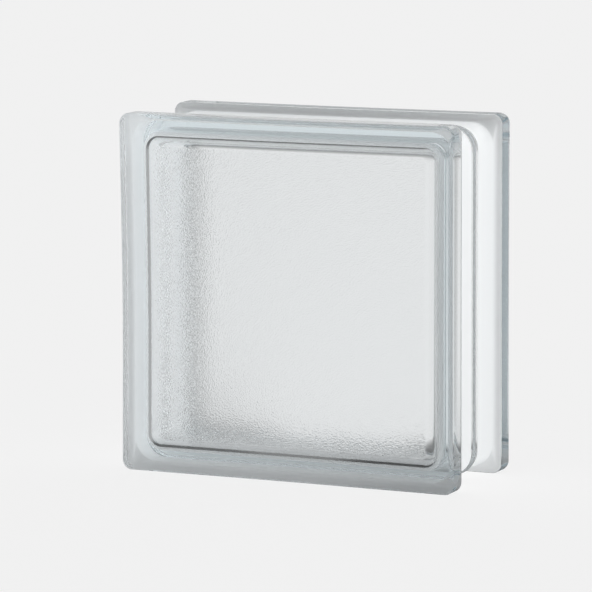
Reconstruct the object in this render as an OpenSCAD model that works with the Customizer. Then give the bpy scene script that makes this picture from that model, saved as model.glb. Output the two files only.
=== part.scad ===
// Hollow glass block: two pressed halves fused at mid-depth into one solid with a sealed cavity.
// It stands on the rims of its two face plates: X is the width, Y the depth, Z is up, the front is at -Y.

/* [Block] */
// Width and height of the two faces
face_size = 190; // [150:1:300]
// Depth over both faces
block_depth = 80; // [70:1:120]

/* [Face plates] */
// Thickness of each face plate at its rim
rim_t = 12.5; // [10:0.1:14]
// Corner radius of the plates, seen from the front
plate_corner_r = 5.5; // [5.4:0.1:9]
// Rounding between a face and its rim
face_edge_r = 2.6; // [1:0.1:4]
// Rounding between a rim and the channel's side
rim_edge_r = 0.6; // [0.4:0.1:1.2]

/* [Edge channel] */
// Depth of the mortar channel below the rims
channel_depth = 4.2; // [3.8:0.1:5]
// Draft of the channel's sides, in degrees away from square to the rim
channel_slope = 8; // [2:1:20]
// Radius of the fillet between the channel's sides and its floor
channel_fillet_r = 2.5; // [1:0.1:2.6]
// Corner radius of the channel floor, seen from the front
web_corner_r = 12; // [9:0.5:16]

/* [Fused seam] */
// Width of the bead round the block at mid-depth
seam_w = 6; // [4:0.5:10]
// Height of the bead above the channel floor
seam_h = 0.8; // [0.4:0.1:1.2]
// Width of the bead inside the cavity at mid-depth
inner_seam_w = 6; // [4:0.5:10]
// Height of the bead inside the cavity
inner_seam_h = 0.9; // [0.4:0.1:1.2]

/* [Cavity] */
// Glass thickness of each pane
pane_t = 9; // [7:0.5:12]
// Glass thickness of the side walls next to the panes, below the channel floor
wall_t = 6.2; // [5.6:0.1:9]
// Draft of the side walls, in degrees: they thin towards the seam
wall_draft = 2.5; // [1:0.1:3.5]
// Corner radius of the cavity next to the panes, seen from the front
cavity_corner_r = 9; // [8.5:0.5:18]
// Rounding between the panes and the side walls
cavity_edge_r = 8; // [3:0.5:8]

/* [Hidden] */
$fn = 96;
half_size = face_size / 2;
half_depth = block_depth / 2;
web_half = half_size - channel_depth;
cavity_half = web_half - wall_t;
cavity_half_depth = half_depth - pane_t;
// How much wider the cavity is at the seam than at the panes, on each side
cavity_flare = cavity_half_depth * tan(wall_draft);

// Distances from the mid-plane: the rim's inner edge, the foot of the slope and the end of its fillet
rim_y = half_depth - rim_t;
foot_y = rim_y - channel_depth * tan(channel_slope);
floor_y = foot_y - tangent_length(90 + channel_slope, channel_fillet_r);

// Directions in a section: in to the centre, to the face, to the mid-plane and up the channel's side
inward = [-1, 0];
faceward = [0, 1];
midward = [0, -1];
upslope = [cos(channel_slope), sin(channel_slope)];

// Distance from a corner of the given angle to where a round of radius r meets its sides
function tangent_length(angle, r) = r / tan(angle / 2);

// Radius of the circle through a bead's two feet and its crest
function bead_radius(width, height) = (width * width / 4 + height * height) / (2 * height);

// What lies between a corner and its round: taken off a corner, or added in one as a fillet.
// The corner is at p, and a and b are unit directions along its two sides.
module corner_round(p, a, b, r) {
    angle = acos(a * b);
    reach = tangent_length(angle, r);
    centre = p + (a + b) / norm(a + b) * r / sin(angle / 2);
    difference() {
        polygon([p, p + a * reach, centre, p + b * reach]);
        translate(centre)
            circle(r);
    }
}

// Sweeps a section round a square with rounded corners and fills the middle from depth low to high.
// The section's x runs outward from the centre of the corner, so the square's outline is at
// x = corner_r, and its y is the distance from the mid-plane.
module swept_slab(half, corner_r, low, high) {
    reach = half - corner_r;
    translate([-reach, -reach, low])
        cube([2 * reach, 2 * reach, high - low]);
    for (turn = [0 : 90 : 270])
        rotate([0, 0, turn])
            translate([reach, reach, 0]) {
                rotate_extrude(angle = 90)
                    children();
                rotate([90, 0, 0])
                    linear_extrude(2 * reach)
                        children();
            }
}

// Section of a face plate: face, round edge, rim, slope into the channel and the fillet at its foot
module plate_section() {
    floor_x = plate_corner_r - channel_depth;
    foot = [floor_x, foot_y];
    union() {
        difference() {
            polygon([
                [0, half_depth],
                [plate_corner_r, half_depth],
                [plate_corner_r, rim_y],
                foot,
                [floor_x, floor_y],
                [0, floor_y]
            ]);
            corner_round([plate_corner_r, half_depth], inward, midward, face_edge_r);
            corner_round([plate_corner_r, rim_y], faceward, -upslope, rim_edge_r);
        }
        corner_round(foot, upslope, midward, channel_fillet_r);
    }
}

// Section of the side wall's outside: the channel floor with the bead where the halves are fused.
// It runs on into the plates as far as their rims.
module web_section() {
    translate([0, -rim_y])
        square([web_corner_r, 2 * rim_y]);
    bead_r = bead_radius(seam_w, seam_h);
    intersection() {
        translate([web_corner_r + seam_h - bead_r, 0])
            circle(bead_r);
        translate([web_corner_r - seam_h, -seam_w])
            square([2 * seam_h, 2 * seam_w]);
    }
}

// Section of the cavity: drafted walls, round edges, and the bead left inside by the fusing
module cavity_section() {
    seam_x = cavity_corner_r + cavity_flare;
    bead_r = bead_radius(inner_seam_w, inner_seam_h);
    difference() {
        polygon([
            [0, cavity_half_depth],
            [cavity_corner_r, cavity_half_depth],
            [seam_x, 0],
            [cavity_corner_r, -cavity_half_depth],
            [0, -cavity_half_depth]
        ]);
        for (side = [-1, 1])
            corner_round(
                [cavity_corner_r, side * cavity_half_depth],
                inward,
                [sin(wall_draft), -side * cos(wall_draft)],
                cavity_edge_r
            );
        translate([seam_x - inner_seam_h + bead_r, 0])
            circle(bead_r);
    }
}

// The face plate on the upper side of the lying block
module face_plate() {
    swept_slab(half_size, plate_corner_r, floor_y, half_depth)
        plate_section();
}

module web() {
    swept_slab(web_half, web_corner_r, -rim_y, rim_y)
        web_section();
}

// The sealed hollow between the two panes
module cavity() {
    swept_slab(cavity_half, cavity_corner_r, -cavity_half_depth, cavity_half_depth)
        cavity_section();
}

// The whole block, lying on its back about its own middle
module lying_block() {
    difference() {
        union() {
            face_plate();
            mirror([0, 0, 1])
                face_plate();
            web();
        }
        cavity();
    }
}

module glass_block() {
    color([0.80, 0.86, 0.85, 0.5])
        translate([0, 0, half_size])
            rotate([90, 0, 0])
                lying_block();
}

glass_block();
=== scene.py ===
"""Looks of a hollow glass block: clear pressed glass, fused at mid-depth, with a milky edge channel."""

import math

import bmesh
import bpy
from mathutils import Matrix, Vector


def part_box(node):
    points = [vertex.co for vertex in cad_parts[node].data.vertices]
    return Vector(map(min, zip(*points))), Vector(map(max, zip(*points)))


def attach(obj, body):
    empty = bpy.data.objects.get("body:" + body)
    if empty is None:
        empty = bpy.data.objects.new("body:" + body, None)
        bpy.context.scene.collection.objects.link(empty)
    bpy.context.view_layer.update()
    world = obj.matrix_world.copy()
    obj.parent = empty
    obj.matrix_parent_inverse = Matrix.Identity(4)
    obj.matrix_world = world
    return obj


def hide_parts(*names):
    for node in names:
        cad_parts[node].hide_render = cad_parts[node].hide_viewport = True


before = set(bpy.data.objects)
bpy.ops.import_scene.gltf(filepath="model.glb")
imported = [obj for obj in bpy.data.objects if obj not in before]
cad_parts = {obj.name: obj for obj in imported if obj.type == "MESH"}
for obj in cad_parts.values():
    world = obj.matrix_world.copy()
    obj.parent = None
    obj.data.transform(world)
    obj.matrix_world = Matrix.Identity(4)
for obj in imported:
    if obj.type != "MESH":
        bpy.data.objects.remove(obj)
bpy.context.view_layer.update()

MM = 0.001
CLOSE = 1e-6
LENGTH_SLACK = 1e-5

# The block's own box, from the CAD: it stands on Z = 0, and its middle is the middle of the hollow
box_low, box_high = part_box("glass_block")
MIDDLE = (box_low + box_high) / 2
HALF_SIZE = (box_high.x - box_low.x) / 2
HALF_DEPTH = (box_high.y - box_low.y) / 2

# Sizes of the pressed section, as in the part's source
RIM_T = 12.5 * MM
PLATE_CORNER_R = 5.5 * MM
FACE_EDGE_R = 2.6 * MM
RIM_EDGE_R = 0.6 * MM
CHANNEL_DEPTH = 4.2 * MM
CHANNEL_SLOPE = math.radians(8)
CHANNEL_FILLET_R = 2.5 * MM
WEB_CORNER_R = 12 * MM
SEAM_W = 6 * MM
SEAM_H = 0.8 * MM
PANE_T = 9 * MM
WALL_T = 6.2 * MM
WALL_DRAFT = math.radians(2.5)
CAVITY_CORNER_R = 9 * MM
CAVITY_EDGE_R = 8 * MM
INNER_SEAM_W = 6 * MM
INNER_SEAM_H = 0.9 * MM
# Pressed sides draw in a little between the corners as the glass cools
LEFT_DRAW = 0.9 * MM
RIGHT_DRAW = 0.1 * MM
TOP_DRAW = 0.2 * MM
BOTTOM_DRAW = 0.2 * MM

# Fineness of the mesh: points round a corner, along a side, in a quarter round and over a bead
CORNER_STEPS = 12
SIDE_STEPS = 16
ROUND_STEPS = 10
FEWEST_ROUND_STEPS = 3
BEAD_STEPS = 10

# The channel's milky coat: it starts this far below the rims, and fades out beside the bare fused seam
COAT_MARGIN = 0.3 * MM
COAT_SEAM_GAP = 3.8 * MM
COAT_FADE = 0.8 * MM
COAT_COLOUR = "FAFCFD"
# Share of the light that the coat lets through: more on the left than on the right, which is painted light
# that brightens the frame's left side and darkens its right
COAT_PASS_LEFT = 0.43
COAT_PASS_RIGHT = 0.28

# The panes' grain: the real one is about half a millimetre wide, and finer than this it would be lost
# in a picture of the whole block, so it is drawn a little coarser
GRAIN_WIDTH = 0.8 * MM
GRAIN_HEIGHT = 0.25 * MM
GRAIN_DETAIL = 1.0
# Soda-lime glass, and the tint that light takes on in each metre of it
GLASS_IOR = 1.52
GLASS_TINT = "8CC2D2"
TINT_DENSITY = 4.2

WHITE = "FFFFFF"
# Floor: its paper, its glow for the glass, and how much of that is left at the sides and under the block,
# which is painted shade at the sides and a painted shadow under the block
FLOOR_SIZE = 40
FLOOR_COLOUR = "F8F8F8"
FLOOR_GLOW = "EAEAEA"
SIDE_FROM, SIDE_TO = 0.5, 0.85
LEFT_GLOW_SHARE = 0.5
RIGHT_GLOW_SHARE = 0.2
UNDER_GLOW_SHARE = 0.25
SHADE_EDGE = 6 * MM
# How much of the floor's shadow the camera sees, and the shade above the horizon, the same as the floor's
SHADOW_SHARE = 0.15
BACKDROP = "F1F1F1"

# Surround: its light from front to back and up to the ceiling, each with the part of the way it changes in
FRONT_LIGHT, BACK_LIGHT = 0.25, 0.55
BACK_FROM, BACK_TO = 0.2, 0.8
CEILING_SHARE = 0.6
CEILING_FROM, CEILING_TO = 0.1, 0.5

# Softboxes: compass angle from straight behind the block, clockwise from above, then rise and watts
SOFTBOXES = (
    ("left softbox", -90, 0.05, 18.6),
    ("right softbox", 90, 0.05, 12.9),
    ("top softbox", 0, 1.7, 13),
)
SOFTBOX_DISTANCE = 1.2
SOFTBOX_SIZE = 1.0

# Camera: azimuth, elevation and roll in degrees, and where it stands from the block's middle
CAMERA_ANGLES = (24.590, 8.291, -0.245)
CAMERA_DISTANCE = 2150.53 * MM
CAMERA_SIDESTEP = (-9.866 * MM, -1.940 * MM)
CAMERA_LENS = 248.33
SENSOR_WIDTH = 36
VIEW_END = 100

# Light is followed this often through the glass, which reflects it many times inside
LIGHT_BOUNCES = 32


def deselect_all():
    bpy.ops.object.select_all(action="DESELECT")


def apply_modifier(piece, modifier):
    bpy.context.view_layer.objects.active = piece
    bpy.ops.object.modifier_apply(modifier=modifier.name)


def rounded(points, radii):
    """A section's line with each inner corner replaced by an arc of its radius."""
    line = [points[0]]
    for before, corner, after, radius in zip(points, points[1:], points[2:], radii):
        a = (before - corner).normalized()
        b = (after - corner).normalized()
        angle = a.angle(b)
        centre = corner + (a + b).normalized() * radius / math.sin(angle / 2)
        start = corner + a * radius / math.tan(angle / 2) - centre
        turn = start.angle_signed(corner + b * radius / math.tan(angle / 2) - centre)
        steps = max(FEWEST_ROUND_STEPS, round(ROUND_STEPS * abs(turn) / (math.pi / 2)))
        for step in range(steps + 1):
            spoke = start.copy()
            spoke.rotate(Matrix.Rotation(-turn * step / steps, 2))
            line.append(centre + spoke)
    line.append(points[-1])
    return line


def bead(width, height):
    """Points over a low round bead, from one foot to the other, without the feet."""
    radius = (width * width / 4 + height * height) / (2 * height)
    points = []
    for step in range(1, BEAD_STEPS):
        y = width * (step / BEAD_STEPS - 0.5)
        points.append((math.sqrt(radius * radius - y * y) - radius + height, y))
    return points


def outer_section():
    """(half width, depth, corner radius) of each ring of the outside, from the front to the back face."""
    web_half = HALF_SIZE - CHANNEL_DEPTH
    rim_y = RIM_T - HALF_DEPTH
    foot_y = rim_y + CHANNEL_DEPTH * math.tan(CHANNEL_SLOPE)
    corners = [
        Vector((HALF_SIZE - PLATE_CORNER_R, -HALF_DEPTH)),
        Vector((HALF_SIZE, -HALF_DEPTH)),
        Vector((HALF_SIZE, rim_y)),
        Vector((web_half, foot_y)),
        Vector((web_half, -COAT_SEAM_GAP - COAT_FADE)),
    ]
    front = rounded(corners, [FACE_EDGE_R, RIM_EDGE_R, CHANNEL_FILLET_R])[1:]
    # The coat fades out between the last of these rings and the next one
    front = [(p.x, p.y) for p in front] + [(web_half, -COAT_SEAM_GAP), (web_half, -SEAM_W / 2)]
    crown = [(web_half + rise, y) for rise, y in bead(SEAM_W, SEAM_H)]
    line = front + crown + [(half, -y) for half, y in reversed(front)]
    fillet_reach = CHANNEL_FILLET_R / math.tan((math.pi / 2 + CHANNEL_SLOPE) / 2)
    rings = []
    for half, y in line:
        # Down the fillet the corner opens from the plate's radius to the wider one of the channel's floor
        share = (foot_y + fillet_reach + abs(y)) / (fillet_reach * (1 + math.sin(CHANNEL_SLOPE)))
        share = 1 - min(1, max(0, share))
        plate_r = PLATE_CORNER_R - (HALF_SIZE - half)
        floor_r = WEB_CORNER_R + half - web_half
        rings.append((half, y, plate_r + (floor_r - plate_r) * share * share * (3 - 2 * share)))
    return rings


def cavity_section():
    """(half width, depth, corner radius) of each ring of the hollow, from the front to the back pane."""
    pane_half = HALF_SIZE - CHANNEL_DEPTH - WALL_T
    pane_y = PANE_T - HALF_DEPTH
    seam_half = pane_half + (-INNER_SEAM_W / 2 - pane_y) * math.tan(WALL_DRAFT)
    corners = [
        Vector((pane_half - CAVITY_CORNER_R, pane_y)),
        Vector((pane_half, pane_y)),
        Vector((seam_half, -INNER_SEAM_W / 2)),
    ]
    front = [(p.x, p.y) for p in rounded(corners, [CAVITY_EDGE_R])[1:]]
    crown = [(seam_half - rise, y) for rise, y in bead(INNER_SEAM_W, INNER_SEAM_H)]
    line = front + crown + [(half, -y) for half, y in reversed(front)]
    return [(half, y, CAVITY_CORNER_R - max(0, pane_half - half)) for half, y in line]


def select_depth(depth):
    """Selects the part of the mesh being edited that lies at this depth."""
    bpy.ops.mesh.select_all(action="DESELECT")
    mesh = bmesh.from_edit_mesh(bpy.context.object.data)
    for vert in mesh.verts:
        if abs(vert.co.y - MIDDLE.y - depth) < CLOSE:
            vert.select_set(True)
    mesh.select_flush(True)
    bmesh.update_edit_mesh(bpy.context.object.data)


def add_ring(half, y, corner_r):
    """Draws a square outline with round corners at depth y of the mesh being edited."""
    bpy.ops.mesh.select_all(action="DESELECT")
    bpy.ops.mesh.primitive_plane_add(
        size=2 * half,
        location=(MIDDLE.x, MIDDLE.y + y, MIDDLE.z),
        rotation=(math.pi / 2, 0, 0),
    )
    bpy.ops.mesh.bevel(
        affect="VERTICES", offset_type="OFFSET", offset=corner_r, segments=CORNER_STEPS, profile=0.5
    )
    mesh = bmesh.from_edit_mesh(bpy.context.object.data)
    straight = 2 * (half - corner_r)
    for edge in mesh.edges:
        edge.select_set(edge.select and abs(edge.calc_length() - straight) < LENGTH_SLACK)
    bmesh.update_edit_mesh(bpy.context.object.data)
    bpy.ops.mesh.subdivide(number_cuts=SIDE_STEPS - 1)
    select_depth(y)
    bpy.ops.mesh.delete(type="ONLY_FACE")


def loft_shell(name, rings, inside):
    """Bridges the rings in turn, closes both ends, and turns the faces out, or into the hollow."""
    deselect_all()
    bpy.ops.mesh.primitive_plane_add(size=HALF_SIZE, location=(0, 0, 0))
    shell = bpy.context.object
    shell.name = name
    bpy.ops.object.mode_set(mode="EDIT")
    bpy.ops.mesh.select_mode(type="VERT")
    bpy.ops.mesh.select_all(action="SELECT")
    bpy.ops.mesh.delete(type="VERT")
    for half, y, corner_r in rings:
        add_ring(half, y, corner_r)
    bpy.ops.mesh.select_all(action="SELECT")
    bpy.ops.mesh.bridge_edge_loops(type="SINGLE")
    for _, y, _ in (rings[0], rings[-1]):
        select_depth(y)
        mesh = bmesh.from_edit_mesh(shell.data)
        chosen = [vert for vert in mesh.verts if vert.select]
        # The grid starts at one corner of the face
        mesh.select_history.clear()
        mesh.select_history.add(max(chosen, key=lambda vert: vert.co.x + vert.co.z))
        bpy.ops.mesh.fill_grid(span=CORNER_STEPS + SIDE_STEPS)
    bpy.ops.mesh.select_all(action="SELECT")
    bpy.ops.mesh.normals_make_consistent(inside=inside)
    bpy.ops.object.mode_set(mode="OBJECT")
    bpy.ops.object.shade_smooth()
    return shell


def mark_points(shell, name, is_marked):
    """Writes a point attribute that is 1 where is_marked holds for a point taken from the middle."""
    marks = shell.data.attributes.new(name, "FLOAT", "POINT")
    for index, vert in enumerate(shell.data.vertices):
        marks.data[index].value = 1.0 if is_marked(vert.co - MIDDLE) else 0.0


def rim_drop(point):
    """How far a point lies inside the plates' outline, seen from the front."""
    reach = HALF_SIZE - PLATE_CORNER_R
    over_x, over_z = abs(point.x) - reach, abs(point.z) - reach
    outside_r = math.hypot(max(over_x, 0), max(over_z, 0)) + min(max(over_x, over_z), 0)
    return PLATE_CORNER_R - outside_r


def is_coated(point):
    """The channel's sides and its floor, up to the gap beside the seam."""
    between_rims = abs(point.y) < HALF_DEPTH - RIM_T + RIM_EDGE_R
    return between_rims and rim_drop(point) > COAT_MARGIN and abs(point.y) > COAT_SEAM_GAP + CLOSE


def is_on_pane(point):
    return abs(point.y) > HALF_DEPTH - PANE_T - CLOSE


def draw_in_sides(piece):
    """Draws the four sides in a little at mid-length with a lattice, as cooling glass does."""
    deselect_all()
    bpy.ops.object.add(type="LATTICE", location=MIDDLE)
    cage = bpy.context.object
    cage.data.points_u, cage.data.points_v, cage.data.points_w = 3, 2, 3
    for axis in "uvw":
        setattr(cage.data, "interpolation_type_" + axis, "KEY_CARDINAL")
    cage.scale = (2 * HALF_SIZE, 2 * HALF_DEPTH, 2 * HALF_SIZE)
    for point in cage.data.points:
        x, z = point.co.x, point.co.z
        if abs(z) < CLOSE and abs(x) > CLOSE:
            draw = LEFT_DRAW if x < 0 else RIGHT_DRAW
            point.co_deform.x -= math.copysign(draw, x) / (2 * HALF_SIZE)
        if abs(x) < CLOSE and abs(z) > CLOSE:
            draw = TOP_DRAW if z > 0 else BOTTOM_DRAW
            point.co_deform.z -= math.copysign(draw, z) / (2 * HALF_SIZE)
    bpy.context.view_layer.update()
    drawing = piece.modifiers.new("drawn sides", "LATTICE")
    drawing.object = cage
    apply_modifier(piece, drawing)
    bpy.data.objects.remove(cage)


def linear(hex_colour):
    """An sRGB hex colour as linear RGBA."""
    channels = [int(hex_colour[i:i + 2], 16) / 255 for i in (0, 2, 4)]
    return [c / 12.92 if c <= 0.04045 else ((c + 0.055) / 1.055) ** 2.4 for c in channels] + [1.0]


def add_node(tree, kind, inputs=None, **settings):
    """Adds a node with its settings. An input is a value, or an output socket to link from."""
    node = tree.nodes.new(kind)
    for name, value in settings.items():
        setattr(node, name, value)
    for key, value in (inputs or {}).items():
        if isinstance(value, bpy.types.NodeSocket):
            tree.links.new(value, node.inputs[key])
        else:
            node.inputs[key].default_value = value
    return node


def reckon(tree, operation, *values):
    """The outcome of a sum on values or sockets."""
    return add_node(tree, "ShaderNodeMath", dict(enumerate(values)), operation=operation).outputs[0]


def ramp(tree, value, start, end, low, high, kind="SMOOTHSTEP"):
    """Goes from low to high while the value goes from start to end."""
    return add_node(tree, "ShaderNodeMapRange", {
        0: value, 1: start, 2: end, 3: low, 4: high,
    }, interpolation_type=kind).outputs[0]


def mix(tree, share, first, second):
    """Mixes two shaders by the share of the second."""
    return add_node(tree, "ShaderNodeMixShader", {
        0: share, 1: first.outputs[0], 2: second.outputs[0],
    })


def new_material(name):
    material = bpy.data.materials.new(name)
    material.use_nodes = True
    material.node_tree.nodes.clear()
    return material, material.node_tree


def milky_coat(tree, place):
    """Thin milky finish: a soft white from outside that glows when the light is behind it."""
    axes = add_node(tree, "ShaderNodeSeparateXYZ", {0: place.outputs["Object"]})
    # Painted light and shade: the coat lets more light through on the left than on the right, so the two
    # sides look unevenly lit without any lamp doing it
    painted_side_light_share = ramp(
        tree, axes.outputs["X"], -HALF_SIZE, HALF_SIZE, COAT_PASS_LEFT, COAT_PASS_RIGHT, kind="LINEAR"
    )
    thrown_back = add_node(tree, "ShaderNodeBsdfDiffuse", {"Color": linear(COAT_COLOUR)})
    let_through = add_node(tree, "ShaderNodeBsdfTranslucent", {"Color": linear(COAT_COLOUR)})
    return mix(tree, painted_side_light_share, thrown_back, let_through)


def pressed_soda_lime_glass():
    """Clear soda-lime glass pressed in a mould: a bright smooth outside, a faint blue-green where it is
    thick, a fine grain on the panes' inner faces that blurs what is behind, and a milky coat in the
    channel that hides what is behind the edge."""
    material, tree = new_material("pressed soda-lime glass")
    place = add_node(tree, "ShaderNodeTexCoord")
    grain_mark = add_node(tree, "ShaderNodeAttribute", attribute_name="pane_grain")
    coat_mark = add_node(tree, "ShaderNodeAttribute", attribute_name="edge_coat")
    grain = add_node(tree, "ShaderNodeTexNoise", {
        "Vector": place.outputs["Object"], "Scale": 1 / GRAIN_WIDTH, "Detail": GRAIN_DETAIL,
    })
    grain_bump = add_node(tree, "ShaderNodeBump", {
        "Height": reckon(tree, "MULTIPLY", grain.outputs[0], grain_mark.outputs["Fac"]),
        "Distance": GRAIN_HEIGHT,
        "Strength": 1.0,
    })
    glass = add_node(tree, "ShaderNodeBsdfPrincipled", {
        "Base Color": linear(WHITE),
        "Transmission Weight": 1.0,
        "IOR": GLASS_IOR,
        "Roughness": 0.0,
        "Normal": grain_bump.outputs[0],
    })
    surface = mix(tree, coat_mark.outputs["Fac"], glass, milky_coat(tree, place))
    tint = add_node(tree, "ShaderNodeVolumeAbsorption", {
        "Color": linear(GLASS_TINT), "Density": TINT_DENSITY,
    })
    add_node(tree, "ShaderNodeOutputMaterial", {
        "Surface": surface.outputs[0], "Volume": tint.outputs[0],
    })
    return material


def floor_glow_share(tree):
    """How bright the glass sees each spot of the floor: painted shade that is dimmer to both sides, and a
    painted shadow under the block.
    """
    place = add_node(tree, "ShaderNodeTexCoord")
    bearing = add_node(
        tree, "ShaderNodeVectorMath", {0: place.outputs["Object"]}, operation="NORMALIZE"
    )
    sideways = add_node(tree, "ShaderNodeSeparateXYZ", {0: bearing.outputs[0]}).outputs["X"]
    left = ramp(tree, sideways, -SIDE_TO, -SIDE_FROM, LEFT_GLOW_SHARE, 1.0)
    right = ramp(tree, sideways, SIDE_FROM, SIDE_TO, 1.0, RIGHT_GLOW_SHARE)
    spot = add_node(tree, "ShaderNodeSeparateXYZ", {0: place.outputs["Object"]})
    past_x = reckon(tree, "SUBTRACT", reckon(tree, "ABSOLUTE", spot.outputs["X"]), HALF_SIZE)
    past_y = reckon(tree, "SUBTRACT", reckon(tree, "ABSOLUTE", spot.outputs["Y"]), HALF_DEPTH)
    past_edge = reckon(tree, "MAXIMUM", past_x, past_y)
    uncovered = ramp(tree, past_edge, -SHADE_EDGE, SHADE_EDGE, UNDER_GLOW_SHARE, 1.0)
    return reckon(tree, "MULTIPLY", reckon(tree, "MULTIPLY", left, right), uncovered)


def pale_studio_paper():
    """Matt pale paper: the camera sees an even shade with the block's soft shadow on it, and matt surfaces
    see a plain glow. Glass sees a glow with painted shade, dimmer to both sides, and a painted shadow
    under the block."""
    material, tree = new_material("pale studio paper")
    paper = add_node(tree, "ShaderNodeBsdfDiffuse", {"Color": linear(FLOOR_COLOUR)})
    even_white = add_node(tree, "ShaderNodeEmission", {"Color": linear(WHITE), "Strength": 1.0})
    plain_glow = add_node(tree, "ShaderNodeEmission", {
        "Color": linear(FLOOR_COLOUR), "Strength": 1.0,
    })
    glow_in_glass = add_node(tree, "ShaderNodeEmission", {
        "Color": linear(FLOOR_GLOW), "Strength": floor_glow_share(tree),
    })
    path = add_node(tree, "ShaderNodeLightPath")
    for_camera = mix(tree, SHADOW_SHARE, even_white, paper)
    for_block = mix(tree, path.outputs["Is Diffuse Ray"], glow_in_glass, plain_glow)
    surface = mix(tree, path.outputs["Is Camera Ray"], for_block, for_camera)
    add_node(tree, "ShaderNodeOutputMaterial", {"Surface": surface.outputs[0]})
    material.cycles.emission_sampling = "NONE"
    return material


def soft_studio():
    """A plain surround, bright behind the block and darker overhead and on the camera's side. The
    camera itself sees the floor's shade go on above the horizon."""
    world = bpy.data.worlds.new("soft studio")
    world.use_nodes = True
    tree = world.node_tree
    tree.nodes.clear()
    ray = add_node(tree, "ShaderNodeTexCoord")
    axes = add_node(tree, "ShaderNodeSeparateXYZ", {0: ray.outputs["Generated"]})
    level = ramp(tree, axes.outputs["Y"], BACK_FROM, BACK_TO, FRONT_LIGHT, BACK_LIGHT)
    overhead = ramp(tree, axes.outputs["Z"], CEILING_FROM, CEILING_TO, 1.0, CEILING_SHARE)
    surround = add_node(tree, "ShaderNodeBackground", {
        "Color": linear(WHITE), "Strength": reckon(tree, "MULTIPLY", level, overhead),
    })
    backdrop = add_node(tree, "ShaderNodeBackground", {"Color": linear(BACKDROP), "Strength": 1.0})
    path = add_node(tree, "ShaderNodeLightPath")
    seen = mix(tree, path.outputs["Is Camera Ray"], surround, backdrop)
    add_node(tree, "ShaderNodeOutputWorld", {"Surface": seen.outputs[0]})
    return world


def add_softbox(name, compass, rise, power, lit_pieces):
    """A large soft lamp that lights the coat of these pieces and does not show in the glass."""
    turn = math.radians(compass)
    toward = Vector((math.sin(turn), math.cos(turn), rise)).normalized()
    bpy.ops.object.light_add(type="AREA", location=MIDDLE + toward * SOFTBOX_DISTANCE)
    lamp = bpy.context.object
    lamp.name = name
    lamp.data.energy = power
    lamp.data.shape = "SQUARE"
    lamp.data.size = SOFTBOX_SIZE
    lamp.rotation_euler = toward.to_track_quat("Z", "Y").to_euler()
    lamp.visible_camera = lamp.visible_glossy = lamp.visible_transmission = False
    lamp.light_linking.receiver_collection = lit_pieces


def add_camera():
    azimuth, elevation, roll = (math.radians(angle) for angle in CAMERA_ANGLES)
    back = Vector((
        math.sin(azimuth) * math.cos(elevation),
        -math.cos(azimuth) * math.cos(elevation),
        math.sin(elevation),
    ))
    right = Vector((math.cos(azimuth), math.sin(azimuth), 0))
    up = back.cross(right)
    right, up = (
        right * math.cos(roll) + up * math.sin(roll),
        up * math.cos(roll) - right * math.sin(roll),
    )
    aside, above = CAMERA_SIDESTEP
    eye = MIDDLE + back * CAMERA_DISTANCE + right * aside + up * above
    bpy.ops.object.camera_add(location=eye)
    camera = bpy.context.object
    turned = Matrix((right, up, back)).transposed().to_4x4()
    camera.matrix_world = Matrix.Translation(eye) @ turned
    camera.data.lens = CAMERA_LENS
    camera.data.sensor_width = SENSOR_WIDTH
    camera.data.clip_end = VIEW_END
    return camera


# Block: the outside and the hollow as one mesh
block = loft_shell("pressed_block", outer_section(), inside=False)
mark_points(block, "edge_coat", is_coated)
hollow = loft_shell("block_hollow", cavity_section(), inside=True)
mark_points(hollow, "pane_grain", is_on_pane)
deselect_all()
hollow.select_set(True)
block.select_set(True)
bpy.context.view_layer.objects.active = block
bpy.ops.object.join()
draw_in_sides(block)
apply_modifier(block, block.modifiers.new("even shading", "WEIGHTED_NORMAL"))
block.data.materials.clear()
block.data.materials.append(pressed_soda_lime_glass())
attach(block, "root")
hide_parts("glass_block")

# Floor
deselect_all()
bpy.ops.mesh.primitive_plane_add(size=FLOOR_SIZE, location=(0, 0, 0))
floor = bpy.context.object
floor.name = "floor"
floor.data.materials.append(pale_studio_paper())

# Light and camera
scene = bpy.context.scene
scene.world = soft_studio()
lit_pieces = bpy.data.collections.new("lit by the softboxes")
lit_pieces.objects.link(block)
for name, compass, rise, power in SOFTBOXES:
    add_softbox(name, compass, rise, power, lit_pieces)
scene.camera = add_camera()
scene.view_settings.view_transform = "Standard"
for kind in ("max", "transmission", "glossy", "diffuse"):
    setattr(scene.cycles, kind + "_bounces", LIGHT_BOUNCES)
